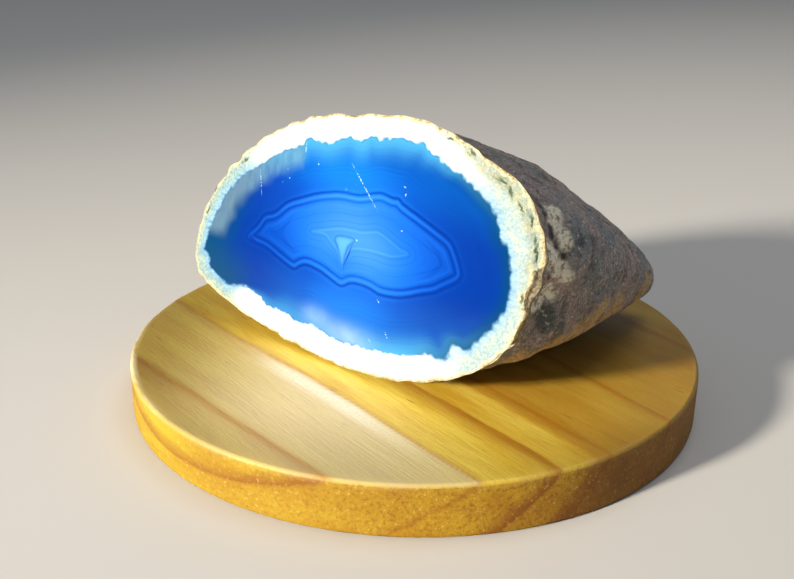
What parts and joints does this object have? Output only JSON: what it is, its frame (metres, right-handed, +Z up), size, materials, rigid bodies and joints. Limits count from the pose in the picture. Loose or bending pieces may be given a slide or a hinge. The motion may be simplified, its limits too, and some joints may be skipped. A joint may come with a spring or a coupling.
{
  "type": "cut and polished agate nodule on a round wooden stand",
  "caption": "Tapering agate nodule with a rough husk and a flat polished face of banded blue inside a white rind, at rest on a round pine board.",
  "frame": {"origin": "centre of the stand's underside, on the surface it stands on", "axes": "+Z up; -Y is the front, the side the picture is taken from; +X is to the right, toward the nodule's tip"},
  "size_m": [0.1016, 0.1016, 0.0517],
  "materials": {
    "agate": "polished cut face, rough weathered husk",
    "pine": "sanded, thin clear satin coat"
  },
  "bodies": {
    "root": {"agate_nodule": "agate", "wooden_stand": "pine"}
  },
  "joints": []
}
